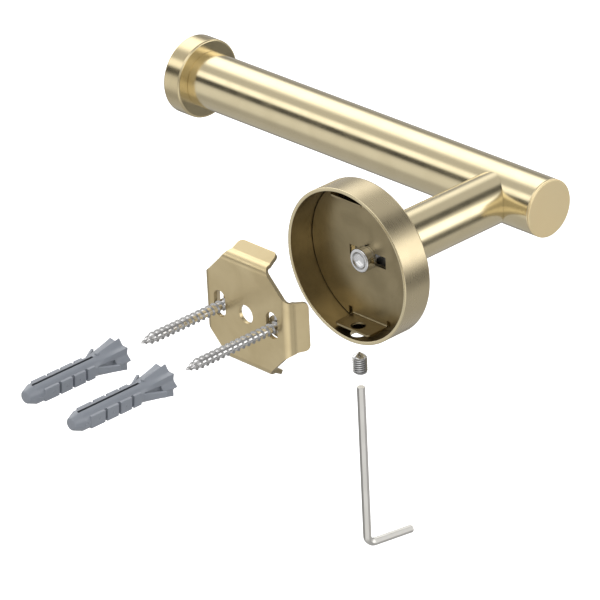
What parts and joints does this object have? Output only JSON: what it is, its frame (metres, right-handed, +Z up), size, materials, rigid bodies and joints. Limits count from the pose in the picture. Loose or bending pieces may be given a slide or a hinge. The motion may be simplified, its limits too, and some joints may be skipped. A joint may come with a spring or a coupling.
{
  "type": "toilet paper holder",
  "caption": "Wall-mounted toilet paper holder: round base cup, post and straight roll bar with end flange, with its wall bracket, screws, plugs, set screw and hex key.",
  "frame": {"origin": "centre of the wall bracket's wall-side face, on the wall plane and on the axis of its centre hole", "axes": "+Y into the wall, -Y out into the room along the post, +X along the roll bar towards its end flange, +Z up"},
  "size_m": [0.1819, 0.2229, 0.135],
  "materials": {
    "gold_satin": "brushed",
    "gold_polished": "polished",
    "bronze_inner": "satin",
    "bracket_gold": "satin",
    "steel_bright": "bright",
    "insert_steel": "plain",
    "plug_grey": "matt"
  },
  "bodies": {
    "bracket": {"wall_bracket": "bracket_gold"},
    "holder": {"base_cup": "gold_satin", "ear_plate": "bronze_inner", "post_tube": "gold_satin", "post_base_insert": "insert_steel", "lock_washer": "steel_bright", "post_screw": "steel_bright", "post_nose_insert": "insert_steel", "joint_screw": "insert_steel", "bar_tube": "gold_satin", "bar_end_cap": "gold_polished", "bar_insert": "insert_steel", "flange_stud": "insert_steel", "end_flange": "gold_satin"},
    "screw_left": {"wall_screw_left": "steel_bright"},
    "screw_right": {"wall_screw_right": "steel_bright"},
    "plug_left": {"wall_plug_left": "plug_grey"},
    "plug_right": {"wall_plug_right": "plug_grey"},
    "set_screw": {"set_screw": "steel_bright"},
    "hex_key": {"hex_key": "steel_bright"}
  },
  "joints": [
    {"name": "holder_slide", "type": "slide", "parent": "bracket", "child": "holder", "axis": [0, 1, 0], "range_m": [0, 0.0457]},
    {"name": "screw_left_drive", "type": "slide", "parent": "bracket", "child": "screw_left", "axis": [0, 1, 0], "range_m": [0, 0.0035]},
    {"name": "screw_right_drive", "type": "slide", "parent": "bracket", "child": "screw_right", "axis": [0, 1, 0], "range_m": [0, 0.0003]},
    {"name": "plug_left_push", "type": "slide", "parent": "bracket", "child": "plug_left", "axis": [0, -1, 0], "range_m": [0, 0.0439]},
    {"name": "plug_right_push", "type": "slide", "parent": "bracket", "child": "plug_right", "axis": [0, -1, 0], "range_m": [0, 0.0465]},
    {"name": "set_screw_drive", "type": "slide", "parent": "holder", "child": "set_screw", "axis": [0, 0, 1], "range_m": [0, 0.0125]},
    {"name": "hex_key_insert", "type": "slide", "parent": "set_screw", "child": "hex_key", "axis": [0, 0, 1], "range_m": [0, 0.0083]}
  ]
}
